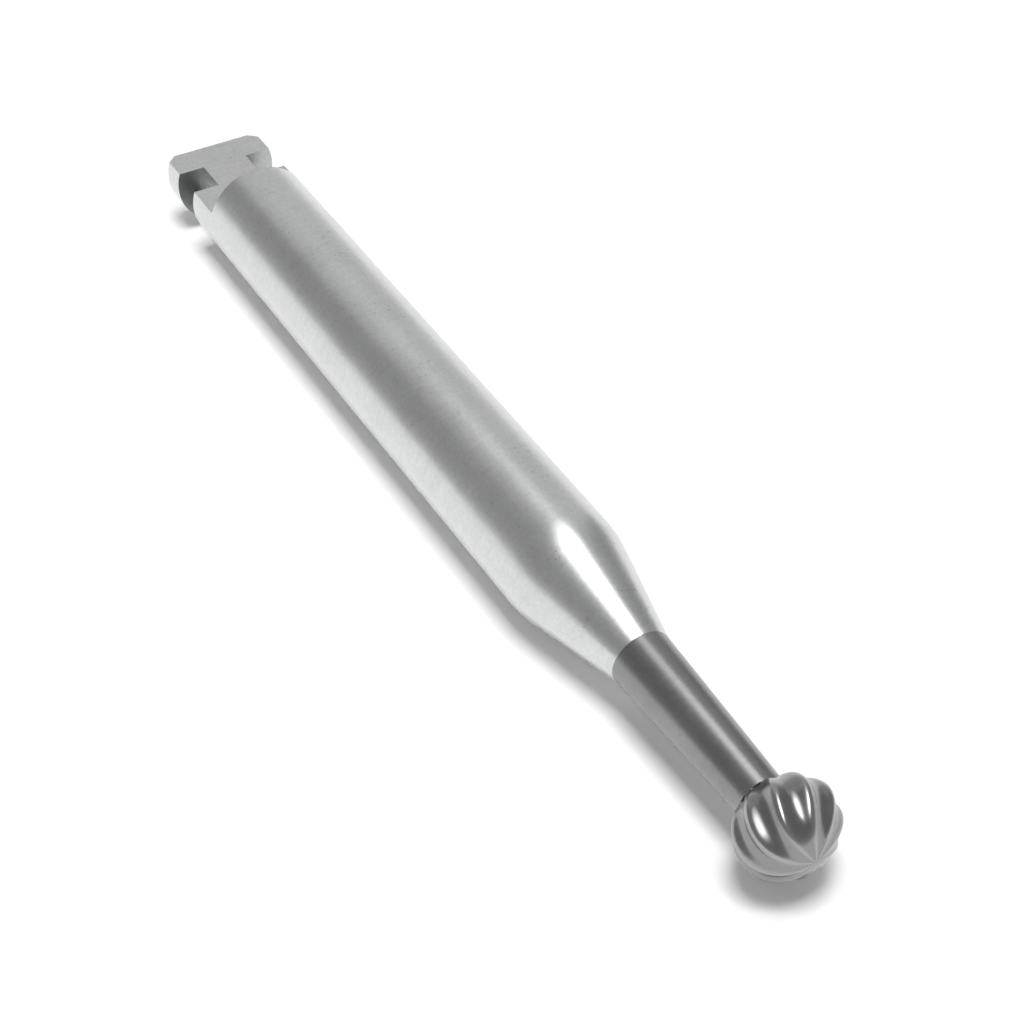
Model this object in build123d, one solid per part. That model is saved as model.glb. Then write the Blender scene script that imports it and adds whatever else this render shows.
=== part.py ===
from build123d import *
import math
import os

# Debonding bur, lying on its side: a turned steel shank with a latch tail,
# and a tungsten carbide neck with a fluted ball brazed onto its cone.
# All sizes are in millimetres. The axis of the bur is X, from the middle of
# the latch end to the tip. The flat of the latch faces up, along Z.

# Shank for a right-angle handpiece
shank_radius = 1.175
shank_cylinder_end = 15.85
shank_cone_length = 2.47

# Latch tail: a head, an annular groove and a flat that drives the bur
latch_end_chamfer = 0.18
latch_head_length = 0.75
latch_groove_width = 0.82
latch_groove_radius = 0.64
latch_flat_length = 2.52
latch_flat_height = 0.375

# Carbide neck
neck_base_radius = 0.608
neck_end_radius = 0.47
neck_lip = 0.01

# Fluted ball, a little shorter along the axis than it is wide
ball_centre = 22.7
ball_radius = 0.974
ball_half_length = 0.81
blade_count = 10
flute_depth_share = 0.1
flank_depth_share = 0.061
flute_twist = 19.5
flute_start = -0.8
tip_point_radius = 0.03
blade_section_count = 11

# Places along the axis that follow from the sizes above
groove_start = latch_head_length
groove_end = groove_start + latch_groove_width
joint_face = shank_cylinder_end + shank_cone_length
blade_root_radius = neck_end_radius - neck_lip
back_angle = math.pi - math.asin(blade_root_radius / ball_radius)
tip_angle = math.asin(tip_point_radius / ball_radius)
ball_back = ball_centre + ball_half_length * math.cos(back_angle)


def turned(points):
    """Solid of revolution about the X axis from (x, radius) points."""
    profile = make_face(Polyline(*points, close=True))
    return revolve(profile, Axis.X)


def blade_section(angle):
    """Section of the ball, placed by the angle from the tip at its centre.

    Each blade is one smooth wave, from the floor of a flute over the crest to
    the floor of the next. The flanks lie below the middle of the wave, which
    makes the flutes wide and the crests narrow. The start of the first wave
    turns as the section moves along the axis, which twists the blades.
    """
    x = ball_centre + ball_half_length * math.cos(angle)
    crest = ball_radius * math.sin(angle)
    floor = crest * (1 - flute_depth_share)
    flank = crest * (1 - flank_depth_share)
    wave = (floor, flank, crest, flank, floor)
    pitch = 2 * math.pi / blade_count
    step = pitch / (len(wave) - 1)
    start = math.radians(flute_start - flute_twist * math.cos(angle))
    blades = []
    for blade in range(blade_count):
        first = start + blade * pitch
        around = [first + index * step for index in range(len(wave))]
        points = [
            (x, radius * math.sin(turn), radius * math.cos(turn))
            for radius, turn in zip(wave, around)
        ]
        level = [
            (0, math.cos(turn), -math.sin(turn))
            for turn in (around[0], around[-1])
        ]
        blades.append(Spline(*points, tangents=level))
    return make_face(blades)


# Shank: one turned profile, then the flat of the latch
shank = turned([
    (0, 0),
    (0, shank_radius - latch_end_chamfer),
    (latch_end_chamfer, shank_radius),
    (groove_start, shank_radius),
    (groove_start, latch_groove_radius),
    (groove_end, latch_groove_radius),
    (groove_end, shank_radius),
    (shank_cylinder_end, shank_radius),
    (joint_face, neck_base_radius),
    (joint_face, 0),
])
above_flat = Box(
    latch_flat_length,
    2 * shank_radius,
    shank_radius,
    align=(Align.MIN, Align.CENTER, Align.MIN),
)
shank -= Pos(0, 0, latch_flat_height) * above_flat

# Carbide neck: a long taper that ends where the blades begin
neck = turned([
    (joint_face, 0),
    (joint_face, neck_base_radius),
    (ball_back, neck_end_radius),
    (ball_back, 0),
])

# Fluted ball: twisted sections from the end of the neck to the tip. The
# crests leave the neck just inside its edge, and the flutes dip below it.
section_step = (tip_angle - back_angle) / (blade_section_count - 1)
ball = loft([
    blade_section(back_angle + index * section_step)
    for index in range(blade_section_count)
])
carbide_head = neck + ball

os.makedirs("parts", exist_ok=True)
export_step(shank, "parts/shank.step")
export_step(carbide_head, "parts/carbide_head.step")
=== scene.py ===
import math

import bmesh
import bpy
from bpy.props import (
    FloatProperty,
    FloatVectorProperty,
    IntProperty,
    PointerProperty,
)
from mathutils import Matrix, Vector


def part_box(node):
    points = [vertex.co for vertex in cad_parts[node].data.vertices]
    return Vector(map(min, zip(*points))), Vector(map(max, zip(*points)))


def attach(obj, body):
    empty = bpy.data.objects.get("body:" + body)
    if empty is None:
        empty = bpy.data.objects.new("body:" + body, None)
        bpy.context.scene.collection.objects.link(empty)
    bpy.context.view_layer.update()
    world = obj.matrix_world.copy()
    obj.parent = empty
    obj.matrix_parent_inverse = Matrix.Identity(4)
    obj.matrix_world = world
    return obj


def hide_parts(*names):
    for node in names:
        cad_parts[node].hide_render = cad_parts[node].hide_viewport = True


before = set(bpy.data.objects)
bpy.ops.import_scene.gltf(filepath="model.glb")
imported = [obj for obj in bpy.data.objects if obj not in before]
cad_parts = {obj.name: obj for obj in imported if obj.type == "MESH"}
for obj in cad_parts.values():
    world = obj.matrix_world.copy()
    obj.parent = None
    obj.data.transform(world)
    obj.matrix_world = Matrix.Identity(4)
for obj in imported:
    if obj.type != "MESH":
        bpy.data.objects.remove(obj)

bl_info = {
    "name": "Debonding bur",
    "version": (1, 0, 0),
    "blender": (4, 5, 0),
    "location": "3D View > Sidebar > Bur",
    "description": "A turned steel latch shank with a fluted carbide ball",
    "category": "Add Mesh",
}

# The meshes are made in millimetres, so that edge bevels stay well above the
# smallest lengths that the mesh tools tell apart, and then go to metres.
MM = 0.001
SHANK_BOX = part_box("shank")
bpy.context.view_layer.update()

# Noise cells a metre in the finishes. The rings are narrow along X and reach
# further round the axis.
RING_CELLS = (9000.0, 2500.0, 2500.0)
GRAIN_CELLS = 14000.0
MOTTLE_CELLS = 900.0
# How far a metal's tone goes above and below its colour and its roughness
TONE_SPREAD = 0.3
ROUGHNESS_SPREAD = 0.2
# Painted highlight: how much brighter the colour is along the crests of the blades,
# and how narrow these lines are
CREST_PAINTED_HIGHLIGHT = 1.4
CREST_SHARPNESS = 6.0

# The photo's camera, in millimetres, as fitted to the edges in it
CAMERA_PLACE = (38.9965, -15.1551, 26.8087)
CAMERA_RIGHT = (0.5044, 0.8633, 0.0139)
CAMERA_FORWARD = (-0.6322, 0.3802, -0.6751)
CAMERA_LENS = 73.46
CAMERA_SENSOR = 36.0


def mm(value):
    """A length of the frame, from metres to millimetres."""
    return value / MM


class ShankSizes(bpy.types.PropertyGroup):
    """Sizes of the steel shank, in millimetres."""

    radius: FloatProperty(
        name="Radius",
        description="Radius of the shank, in millimetres",
        default=1.175,
        min=0.1,
    )
    cylinder_end: FloatProperty(
        name="End of the cylinder",
        description="Where the cone begins, from the latch end, in millimetres",
        default=15.85,
    )
    cone_blend: FloatProperty(
        name="Cone blend",
        description="Reach of the soft round at the cone, each way, in millimetres",
        default=0.35,
    )
    joint_face: FloatProperty(
        name="Joint",
        description="Where the cone meets the carbide, in millimetres",
        default=mm(SHANK_BOX[1][0]),
    )
    cone_end_radius: FloatProperty(
        name="Radius at the joint",
        description="Radius of the cone where it meets the carbide, in millimetres",
        default=0.608,
    )
    end_chamfer: FloatProperty(
        name="Chamfer",
        description="Chamfer round the latch end, in millimetres",
        default=0.18,
    )
    head_length: FloatProperty(
        name="Latch head",
        description="Length of the head in front of the groove, in millimetres",
        default=0.75,
    )
    groove_width: FloatProperty(
        name="Groove width",
        description="Width of the latch groove, in millimetres",
        default=0.82,
    )
    groove_radius: FloatProperty(
        name="Groove radius",
        description="Radius of the floor of the groove, in millimetres",
        default=0.64,
    )
    flat_length: FloatProperty(
        name="Flat length",
        description="Length of the driving flat, in millimetres",
        default=2.52,
    )
    flat_height: FloatProperty(
        name="Flat height",
        description="Height of the flat above the axis, in millimetres",
        default=0.375,
    )
    edge_break: FloatProperty(
        name="Edge break",
        description="Width of the tiny bevel on each edge, in millimetres",
        default=0.004,
    )
    segments: IntProperty(
        name="Segments",
        description="Segments round the shank",
        default=256,
        min=12,
    )


class HeadSizes(bpy.types.PropertyGroup):
    """Sizes of the carbide neck and ball, in millimetres."""

    neck_end_radius: FloatProperty(
        name="Neck end radius",
        description="Radius of the neck where the blades begin, in millimetres",
        default=0.47,
    )
    neck_end: FloatProperty(
        name="Neck end",
        description="Where the blades begin, from the latch end, in millimetres",
        default=21.986,
    )
    crest_step: FloatProperty(
        name="Crest step",
        description="How far the crests begin outside the neck, in millimetres",
        default=0.01,
    )
    ball_centre: FloatProperty(
        name="Ball centre",
        description="Place of the ball's centre along the axis, in millimetres",
        default=22.7,
    )
    ball_radius: FloatProperty(
        name="Ball radius",
        description="Radius over the crests of the blades, in millimetres",
        default=0.974,
    )
    ball_half_length: FloatProperty(
        name="Ball half length",
        description="Half the length of the ball along the axis, in millimetres",
        default=0.81,
    )
    blade_count: IntProperty(
        name="Blades",
        description="Number of blades round the ball",
        default=10,
        min=3,
    )
    flute_depth_share: FloatProperty(
        name="Flute depth",
        description="Depth of a flute as a share of the crest radius",
        default=0.108,
        subtype="FACTOR",
    )
    flute_fullness: FloatProperty(
        name="Flute fullness",
        description="How far the flanks lie below the middle of a plain wave",
        default=0.125,
        subtype="FACTOR",
    )
    flute_twist: FloatProperty(
        name="Flute twist",
        description="Turn of the blades from the centre of the ball to its tip",
        default=math.radians(19.5),
        subtype="ANGLE",
    )
    flute_start: FloatProperty(
        name="Flute start",
        description="Place of one flute round the axis, from the top",
        default=math.radians(-0.8),
        subtype="ANGLE",
    )
    steps_per_blade: IntProperty(
        name="Steps a blade",
        description="Mesh steps across each blade",
        default=24,
        min=4,
    )
    steps_along: IntProperty(
        name="Steps along",
        description="Mesh steps from the neck to the tip",
        default=110,
        min=8,
    )


class FinishSettings(bpy.types.PropertyGroup):
    """Colours and finishes of the two metals."""

    steel_colour: FloatVectorProperty(
        name="Steel colour",
        description="Colour of the turned steel",
        default=(0.66, 0.672, 0.665),
        size=3,
        subtype="COLOR",
    )
    steel_roughness: FloatProperty(
        name="Steel roughness",
        description="Roughness of the satin steel",
        default=0.29,
        subtype="FACTOR",
    )
    # Painted shade: the groove's steel colour is darkened by this share, so that the
    # recess looks shaded.
    groove_painted_shade: FloatProperty(
        name="Groove shade",
        description="Painted shade: brightness of the groove's steel colour against the rest",
        default=0.7,
        subtype="FACTOR",
    )
    carbide_colour: FloatVectorProperty(
        name="Carbide colour",
        description="Colour of the ground carbide",
        default=(0.28, 0.28, 0.283),
        size=3,
        subtype="COLOR",
    )
    neck_roughness: FloatProperty(
        name="Neck roughness",
        description="Roughness of the ground neck",
        default=0.3,
        subtype="FACTOR",
    )
    ball_roughness: FloatProperty(
        name="Ball roughness",
        description="Roughness of the polished flutes",
        default=0.24,
        subtype="FACTOR",
    )


class StageSettings(bpy.types.PropertyGroup):
    """The floor, the light and the world."""

    floor_colour: FloatVectorProperty(
        name="Floor colour",
        description="Colour of the plain floor",
        default=(0.97, 0.97, 0.97),
        size=3,
        subtype="COLOR",
    )
    floor_lift: FloatProperty(
        name="Floor lift",
        description="White that the floor adds where it shows, near the bur",
        default=0.06,
    )
    sky_level: FloatProperty(
        name="Upper world",
        description="Brightness of the world above the horizon",
        default=0.31,
    )
    key_level: FloatProperty(
        name="Key light",
        description="Brightness of the long softbox that the metal mirrors",
        default=6.0,
    )
    halo_level: FloatProperty(
        name="Halo",
        description="Brightness of the wider, dimmer softbox round the key light",
        default=1.6,
    )
    floor_light_level: FloatProperty(
        name="Floor light",
        description="Brightness of the small softbox that lights the floor",
        default=18.6,
    )
    fill_level: FloatProperty(
        name="Fill light",
        description="Brightness of the wide softbox behind the latch end",
        default=0.265,
    )


class Shader:
    """A node socket that shader maths can be written with."""

    def __init__(self, tree, socket):
        self.tree = tree
        self.socket = socket

    def _math(self, operation, first, second):
        node = self.tree.nodes.new("ShaderNodeMath")
        node.operation = operation
        for index, value in enumerate((first, second)):
            if isinstance(value, Shader):
                self.tree.links.new(value.socket, node.inputs[index])
            else:
                node.inputs[index].default_value = value
        return Shader(self.tree, node.outputs[0])

    def __add__(self, other):
        return self._math("ADD", self, other)

    def __radd__(self, other):
        return self._math("ADD", other, self)

    def __sub__(self, other):
        return self._math("SUBTRACT", self, other)

    def __rsub__(self, other):
        return self._math("SUBTRACT", other, self)

    def __mul__(self, other):
        return self._math("MULTIPLY", self, other)

    def __rmul__(self, other):
        return self._math("MULTIPLY", other, self)

    def __truediv__(self, other):
        return self._math("DIVIDE", self, other)

    def __pow__(self, other):
        return self._math("POWER", self, other)

    def cosine(self):
        """The cosine of this angle."""
        return self._math("COSINE", self, 0.0)

    def angle_over(self, other):
        """The angle whose tangent is this value over another."""
        return self._math("ARCTAN2", self, other)


class Finish:
    """A material that is being made: its tree, and one way to add a node."""

    def __init__(self, name):
        self.material = bpy.data.materials.new(name)
        self.material.use_nodes = True
        self.tree = self.material.node_tree
        self.tree.nodes.clear()

    def node(self, kind, settings=None, inputs=None, output=0):
        """Adds a node: its settings first, then its values and links."""
        return add_node(self.tree, kind, settings, inputs, output)

    def mix_colour(self, factor, first, second):
        """A colour between two others."""
        return self.node(
            "ShaderNodeMix",
            {"data_type": "RGBA"},
            {0: factor, 6: first, 7: second},
            output=2,
        )

    def surface(self, shader):
        """Puts a shader on the surface."""
        self.node("ShaderNodeOutputMaterial", None, {"Surface": shader})
        return self.material


def add_node(tree, kind, settings=None, inputs=None, output=0):
    """Adds one node to a tree and returns one of its outputs."""
    node = tree.nodes.new(kind)
    for name, value in (settings or {}).items():
        if name == "stops":
            ramp = node.color_ramp
            while len(ramp.elements) < len(value):
                ramp.elements.new(0.5)
            for element, (position, level) in zip(ramp.elements, value):
                element.position = position
                element.color = (level, level, level, 1.0)
        else:
            setattr(node, name, value)
    for key, value in (inputs or {}).items():
        socket = node.inputs[key]
        if isinstance(value, Shader):
            tree.links.new(value.socket, socket)
        else:
            socket.default_value = value
    if not node.outputs:
        return node
    return Shader(tree, node.outputs[output])


def rgba(colour, factor=1.0):
    """A colour with its alpha, made lighter or darker by a factor."""
    return (*[min(1.0, level * factor) for level in colour], 1.0)


def painted_crest_highlight_mask(finish, place, size):
    """A mask for the painted crest highlight: 1 along the crest of each blade, falling
    to 0 beside it.
    """
    x, y, z = (
        finish.node("ShaderNodeSeparateXYZ", None, {0: place}, output=index)
        for index in range(3)
    )
    along = (x / MM - size.ball_centre) / size.ball_half_length
    turn = y.angle_over(z) - size.flute_start + along * size.flute_twist
    return (0.5 - 0.5 * (turn * size.blade_count).cosine()) ** CREST_SHARPNESS


def metal_finish(name, colour, roughness, grain, rings, mottle, blades=None):
    """A ground metal: short rings of the wheel, fine grain and mottling.

    The rings run round the axis of the bur, so they change quickly along it
    and slowly round it. Grain is the fine speckle of the ground surface. The
    last three numbers say how much each of them counts. Where there are
    blades, a highlight is painted along their crests: the colour is brighter there.
    """
    finish = Finish(name)
    place = finish.node("ShaderNodeTexCoord", output=3)
    along = finish.node(
        "ShaderNodeMapping",
        None,
        {"Vector": place, "Scale": RING_CELLS},
    )
    ring_lines = finish.node(
        "ShaderNodeTexNoise",
        None,
        {"Vector": along, "Scale": 1.0, "Detail": 3.0, "Roughness": 0.6},
    )
    speckle = finish.node(
        "ShaderNodeTexNoise",
        None,
        {"Vector": place, "Scale": GRAIN_CELLS, "Detail": 2.0, "Roughness": 0.7},
    )
    cloud = finish.node(
        "ShaderNodeTexNoise",
        None,
        {"Vector": place, "Scale": MOTTLE_CELLS, "Detail": 2.0},
    )
    height = ring_lines * rings + speckle * grain
    tone = (height + cloud * mottle) / (rings + grain + mottle)
    base = finish.mix_colour(
        tone, rgba(colour, 1.0 - TONE_SPREAD), rgba(colour, 1.0 + TONE_SPREAD)
    )
    if blades:
        # A highlight is painted along the blade crests: the base colour is brightened
        # there.
        crest = painted_crest_highlight_mask(finish, place, blades)
        base = finish.mix_colour(crest, base, rgba(colour, CREST_PAINTED_HIGHLIGHT))
    rough = roughness * (1.0 - ROUGHNESS_SPREAD + 2.0 * ROUGHNESS_SPREAD * tone)
    bump = finish.node(
        "ShaderNodeBump",
        None,
        {"Height": height, "Strength": 0.001, "Distance": 0.00002},
    )
    shader = finish.node(
        "ShaderNodeBsdfPrincipled",
        None,
        {
            "Base Color": base,
            "Metallic": 1.0,
            "Roughness": rough,
            "Normal": bump,
        },
    )
    return finish.surface(shader)


def revolved(bm, profile, segments):
    """Turns a profile of (x, radius) points about the X axis into a closed skin."""
    rings = []
    for x, radius in profile:
        ring = []
        for index in range(segments):
            turn = 2 * math.pi * index / segments
            ring.append(
                bm.verts.new((x, radius * math.sin(turn), radius * math.cos(turn)))
            )
        rings.append(ring)
    for near, far in zip(rings, rings[1:]):
        for index in range(segments):
            after = (index + 1) % segments
            bm.faces.new((near[index], near[after], far[after], far[index]))
    bm.faces.new(rings[0])
    bm.faces.new(rings[-1][::-1])
    return rings


def as_object(bm, name):
    """Turns a bmesh into an object of the scene, with its faces outwards."""
    bmesh.ops.recalc_face_normals(bm, faces=bm.faces)
    mesh = bpy.data.meshes.new(name)
    bm.to_mesh(mesh)
    bm.free()
    obj = bpy.data.objects.new(name, mesh)
    bpy.context.scene.collection.objects.link(obj)
    return obj


def modifiers_applied(obj, name):
    """A new object in metres, with the old one's modifiers worked into its mesh."""
    bpy.context.view_layer.update()
    graph = bpy.context.evaluated_depsgraph_get()
    mesh = bpy.data.meshes.new_from_object(obj.evaluated_get(graph))
    mesh.name = name
    mesh.transform(Matrix.Scale(MM, 4))
    made = bpy.data.objects.new(name, mesh)
    bpy.context.scene.collection.objects.link(made)
    old = obj.data
    bpy.data.objects.remove(obj)
    bpy.data.meshes.remove(old)
    return made


class BUR_OT_shank(bpy.types.Operator):
    """Make the turned steel shank with its latch head, groove and flat"""

    bl_idname = "bur.shank"
    bl_label = "Steel shank"

    def execute(self, context):
        size = context.scene.bur_shank
        finish = context.scene.bur_finish
        bm = bmesh.new()
        groove_end = size.head_length + size.groove_width
        profile = [
            (0.0, size.radius - size.end_chamfer),
            (size.end_chamfer, size.radius),
            (size.head_length, size.radius),
            (size.head_length, size.groove_radius),
            (groove_end, size.groove_radius),
            (groove_end, size.radius),
        ]
        taper = math.atan2(
            size.radius - size.cone_end_radius, size.joint_face - size.cylinder_end
        )
        # A soft round joins the cylinder to the cone.
        round_radius = size.cone_blend / math.tan(taper / 2)
        round_steps = 12
        for step in range(round_steps + 1):
            turn = taper * step / round_steps
            x = size.cylinder_end - size.cone_blend + round_radius * math.sin(turn)
            profile.append((x, size.radius - round_radius * (1 - math.cos(turn))))
        profile.append((size.joint_face, size.cone_end_radius))
        revolved(bm, profile, size.segments)
        blank = as_object(bm, "shank_blank")

        tool = bmesh.new()
        bmesh.ops.create_cube(tool, size=1.0)
        room = 1.0
        low = Vector((-room, -size.radius - room, size.flat_height))
        high = Vector((size.flat_length, size.radius + room, size.radius + room))
        for vertex in tool.verts:
            vertex.co = Vector(
                [high[i] if vertex.co[i] > 0 else low[i] for i in range(3)]
            )
        cutter = as_object(tool, "flat_cutter")

        cut = blank.modifiers.new("Flat", "BOOLEAN")
        cut.operation = "DIFFERENCE"
        cut.solver = "EXACT"
        cut.object = cutter
        bevel = blank.modifiers.new("Edge break", "BEVEL")
        bevel.width = size.edge_break
        bevel.segments = 2
        bevel.limit_method = "ANGLE"
        sharp_edge = math.radians(11.0)
        bevel.angle_limit = sharp_edge
        bevel.harden_normals = True
        blank.data.shade_smooth()
        piece = modifiers_applied(blank, "steel_shank")
        bpy.data.objects.remove(cutter)
        if len(piece.data.polygons) < size.segments:
            raise RuntimeError("the shank came out empty")
        piece.data.materials.clear()
        # The groove's steel colour is darkened: painted shade in the recess.
        groove_shaded_colour = [level * finish.groove_painted_shade for level in finish.steel_colour]
        for name, colour in (
            ("satin_turned_steel", finish.steel_colour),
            ("groove_steel_painted_shade", groove_shaded_colour),
        ):
            piece.data.materials.append(
                metal_finish(
                    name,
                    colour,
                    finish.steel_roughness,
                    grain=0.5,
                    rings=0.3,
                    mottle=0.2,
                )
            )
        # The walls and the floor of the groove get the darker steel colour: painted
        # shade in the recess.
        slack = size.edge_break
        facing_up = 0.99
        for face in piece.data.polygons:
            along = mm(face.center.x)
            if (
                size.head_length - slack < along < groove_end + slack
                and abs(face.normal.z) < facing_up
                and mm(face.center.yz.length) < size.radius - slack
            ):
                face.material_index = 1
        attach(piece, "root")
        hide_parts("shank")
        return {"FINISHED"}


class BUR_OT_carbide_head(bpy.types.Operator):
    """Make the tapered carbide neck and the fluted ball"""

    bl_idname = "bur.carbide_head"
    bl_label = "Carbide neck and ball"

    def execute(self, context):
        size = context.scene.bur_head
        shank = context.scene.bur_shank
        finish = context.scene.bur_finish
        around = size.blade_count * size.steps_per_blade
        root = size.neck_end_radius + size.crest_step
        back = math.pi - math.asin(root / size.ball_radius)

        bm = bmesh.new()
        neck = []
        for x, radius in (
            (shank.joint_face, shank.cone_end_radius),
            (size.neck_end, size.neck_end_radius),
        ):
            ring = []
            for index in range(around):
                turn = 2 * math.pi * index / around
                ring.append(
                    bm.verts.new((x, radius * math.sin(turn), radius * math.cos(turn)))
                )
            neck.append(ring)
        rings = []
        for step in range(size.steps_along):
            angle = back * (1.0 - step / size.steps_along)
            x = size.ball_centre + size.ball_half_length * math.cos(angle)
            crest = size.ball_radius * math.sin(angle)
            start = size.flute_start - size.flute_twist * math.cos(angle)
            ring = []
            for index in range(around):
                turn = 2 * math.pi * index / around
                phase = size.blade_count * (turn - start)
                wave = 0.5 + 0.5 * math.cos(phase)
                wave += size.flute_fullness * (0.5 - 0.5 * math.cos(2 * phase))
                radius = crest * (1.0 - size.flute_depth_share * wave)
                ring.append(
                    bm.verts.new((x, radius * math.sin(turn), radius * math.cos(turn)))
                )
            rings.append(ring)
        tip = bm.verts.new((size.ball_centre + size.ball_half_length, 0.0, 0.0))

        def skin(near, far, smooth, slot):
            """Joins two rings with a band of faces."""
            for index in range(around):
                after = (index + 1) % around
                face = bm.faces.new((near[index], near[after], far[after], far[index]))
                face.smooth = smooth
                face.material_index = slot

        bm.faces.new(neck[0])
        skin(neck[0], neck[1], True, 0)
        skin(neck[1], rings[0], False, 0)
        for near, far in zip(rings, rings[1:]):
            skin(near, far, True, 1)
        for index in range(around):
            after = (index + 1) % around
            face = bm.faces.new((rings[-1][index], rings[-1][after], tip))
            face.smooth = True
            face.material_index = 1
        for ring in (neck[1], rings[0]):
            for index in range(around):
                edge = bm.edges.get((ring[index], ring[(index + 1) % around]))
                edge.smooth = False
        piece = modifiers_applied(as_object(bm, "head_blank"), "carbide_neck_and_ball")
        for name, roughness, blades in (
            ("ground_carbide_neck", finish.neck_roughness, None),
            ("polished_carbide_flutes", finish.ball_roughness, size),
        ):
            piece.data.materials.append(
                metal_finish(
                    name,
                    finish.carbide_colour,
                    roughness,
                    grain=0.35,
                    rings=0.35,
                    mottle=0.3,
                    blades=blades,
                )
            )
        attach(piece, "root")
        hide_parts("carbide_head")
        return {"FINISHED"}


def softbox(name, shape, centre, aim, roll, size, level):
    """A plain softbox whose face shines at a given brightness.

    Before the roll, the first of its two sizes lies level: along X, where the
    softbox hangs overhead.
    """
    light = bpy.data.lights.new(name, "AREA")
    light.shape = shape
    light.size, light.size_y = size
    filled = math.pi / 4 if shape == "ELLIPSE" else 1.0
    light.energy = level * size[0] * size[1] * filled * math.pi
    obj = bpy.data.objects.new(name, light)
    bpy.context.scene.collection.objects.link(obj)
    back = (centre - aim).normalized()
    overhead = back.z > 0.9
    upright = Vector((0.0, 1.0, 0.0) if overhead else (0.0, 0.0, 1.0))
    side = upright.cross(back).normalized()
    up = back.cross(side)
    turn = Matrix((side, up, back)).transposed().to_4x4()
    obj.matrix_world = (
        Matrix.Translation(centre) @ turn @ Matrix.Rotation(roll, 4, "Z")
    )
    return obj


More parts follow.
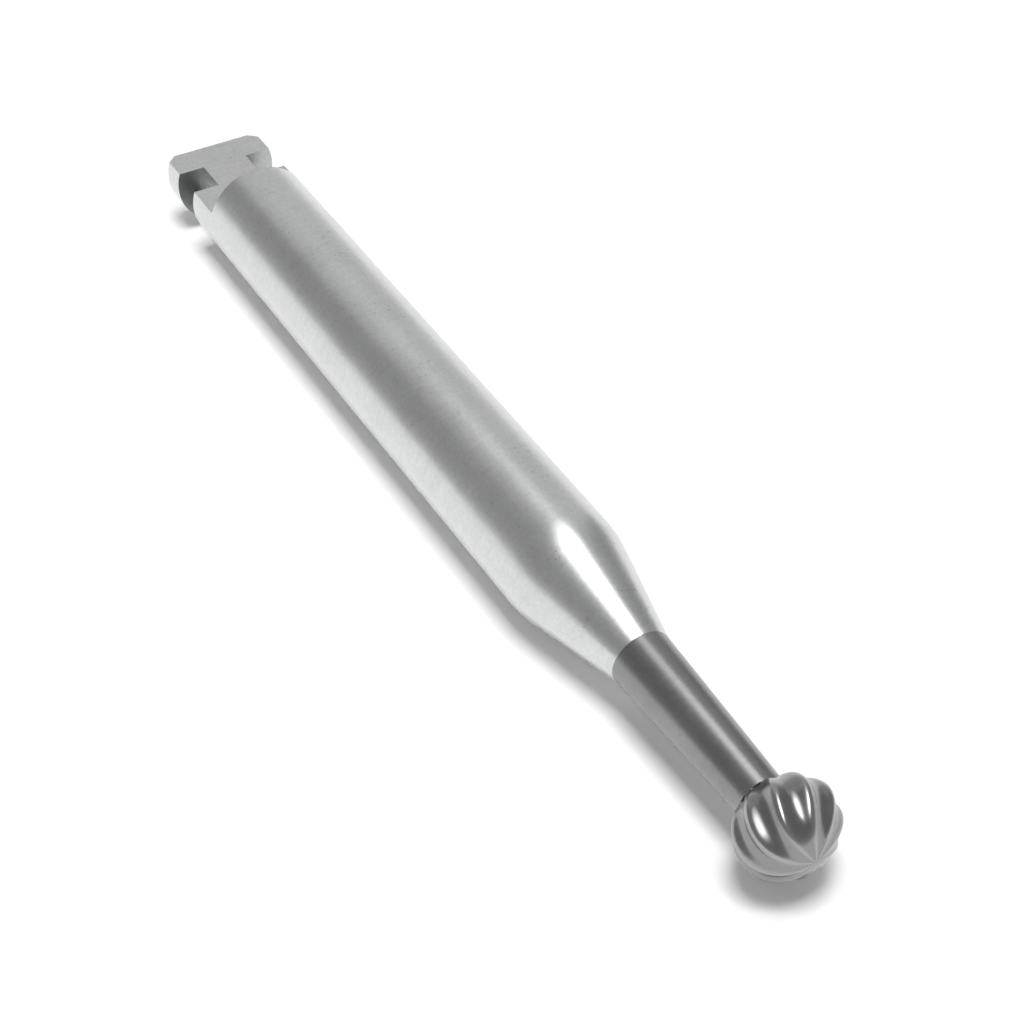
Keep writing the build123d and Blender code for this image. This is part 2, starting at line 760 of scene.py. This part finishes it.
class BUR_OT_stage(bpy.types.Operator):
    """Lay the pale floor and set the softboxes, the world and the camera"""

    bl_idname = "bur.stage"
    bl_label = "Floor, light and camera"

    def execute(self, context):
        stage = context.scene.bur_stage
        scene = context.scene
        bm = bmesh.new()
        reach = 0.6
        floor_height = -context.scene.bur_shank.radius * MM
        corners = [
            bm.verts.new((x * reach, y * reach, floor_height))
            for x, y in ((-1, -1), (1, -1), (1, 1), (-1, 1))
        ]
        bm.faces.new(corners)
        floor = as_object(bm, "floor")
        finish = Finish("pale_floor")
        camera_ray = finish.node("ShaderNodeLightPath", output=0)
        glossy_ray = finish.node("ShaderNodeLightPath", output=3)
        through_ray = finish.node("ShaderNodeLightPath", output=6)
        matt = finish.node(
            "ShaderNodeBsdfDiffuse", None, {"Color": rgba(stage.floor_colour)}
        )
        place = finish.node("ShaderNodeTexCoord", output=3)
        distance = finish.node(
            "ShaderNodeVectorMath", {"operation": "LENGTH"}, {0: place}, output=1
        )
        # Away from the bur the floor turns plain white, out to the horizon.
        white_from, white_by = 0.05, 0.2
        lift = finish.node(
            "ShaderNodeMapRange",
            None,
            {0: distance, 1: white_from, 2: white_by, 3: stage.floor_lift, 4: 1.0},
        )
        white = finish.node("ShaderNodeEmission", None, {"Strength": 1.0})
        shown = (camera_ray + glossy_ray + through_ray) * lift
        seen_lift = finish.node("ShaderNodeMixShader", None, {0: shown, 2: white})
        both = finish.node("ShaderNodeAddShader", None, {0: matt, 1: seen_lift})
        floor.data.materials.append(finish.surface(both))

        world = bpy.data.worlds.new("studio")
        scene.world = world
        world.use_nodes = True
        tree = world.node_tree
        tree.nodes.clear()
        way = add_node(tree, "ShaderNodeTexCoord", output=0)
        height = add_node(tree, "ShaderNodeSeparateXYZ", None, {0: way}, output=2)
        level = add_node(
            tree,
            "ShaderNodeValToRGB",
            {
                "stops": [
                    (0.0, 0.9),
                    (0.03, stage.sky_level + 0.25),
                    (0.13, stage.sky_level + 0.1),
                    (0.4, stage.sky_level),
                ]
            },
            {0: height},
        )
        shine = add_node(tree, "ShaderNodeBackground", None, {"Color": level})
        add_node(tree, "ShaderNodeOutputWorld", None, {"Surface": shine})

        # The metal mirrors the key light and its halo, and the floor softbox
        # lights the matt floor only.
        for name, level, x, size in (
            ("key_softbox", stage.key_level, 0.047, (0.258, 0.092)),
            ("key_halo", stage.halo_level, 0.021, (0.42, 0.16)),
        ):
            mirrored = softbox(
                name,
                "ELLIPSE",
                Vector((x, 0.001, 0.25)),
                Vector((x, 0.001, 0.0)),
                math.radians(-30.0),
                size,
                level,
            )
            mirrored.visible_diffuse = False
        overhead = softbox(
            "floor_softbox",
            "RECTANGLE",
            Vector((0.03, -0.012, 0.25)),
            Vector((0.03, -0.012, 0.0)),
            0.0,
            (0.09, 0.09),
            stage.floor_light_level,
        )
        overhead.visible_glossy = False
        softbox(
            "fill_softbox",
            "RECTANGLE",
            Vector((-0.228, 0.108, 0.127)),
            Vector((0.015, 0.0, 0.0)),
            0.0,
            (0.36, 0.28),
            stage.fill_level,
        )

        view = bpy.data.cameras.new("photo_camera")
        view.lens = CAMERA_LENS
        view.sensor_width = CAMERA_SENSOR
        view.clip_start = 0.001
        view.clip_end = 10.0
        camera = bpy.data.objects.new("photo_camera", view)
        scene.collection.objects.link(camera)
        forward = Vector(CAMERA_FORWARD).normalized()
        up = Vector(CAMERA_RIGHT).cross(forward).normalized()
        right = forward.cross(up)
        turn = Matrix((right, up, -forward)).transposed().to_4x4()
        place = Vector(CAMERA_PLACE) * MM
        camera.matrix_world = Matrix.Translation(place) @ turn
        scene.camera = camera
        scene.view_settings.view_transform = "Standard"
        return {"FINISHED"}


class BUR_PT_panel(bpy.types.Panel):
    """The bur's pieces and settings in the sidebar"""

    bl_idname = "BUR_PT_panel"
    bl_label = "Debonding bur"
    bl_space_type = "VIEW_3D"
    bl_region_type = "UI"
    bl_category = "Bur"

    def draw(self, context):
        layout = self.layout
        for operator in OPERATORS:
            layout.operator(operator.bl_idname)
        for name in SETTINGS:
            group = getattr(context.scene, name)
            box = layout.box()
            for key in group.__annotations__:
                box.prop(group, key)


OPERATORS = (BUR_OT_shank, BUR_OT_carbide_head, BUR_OT_stage)
SETTINGS = {
    "bur_shank": ShankSizes,
    "bur_head": HeadSizes,
    "bur_finish": FinishSettings,
    "bur_stage": StageSettings,
}


def register():
    for kind in (*SETTINGS.values(), *OPERATORS, BUR_PT_panel):
        bpy.utils.register_class(kind)
    for name, group in SETTINGS.items():
        setattr(bpy.types.Scene, name, PointerProperty(type=group))


def unregister():
    for name in SETTINGS:
        delattr(bpy.types.Scene, name)
    for kind in (BUR_PT_panel, *OPERATORS[::-1], *list(SETTINGS.values())[::-1]):
        bpy.utils.unregister_class(kind)


def main():
    register()
    bpy.ops.bur.shank()
    bpy.ops.bur.carbide_head()
    bpy.ops.bur.stage()


if __name__ == "__main__":
    main()
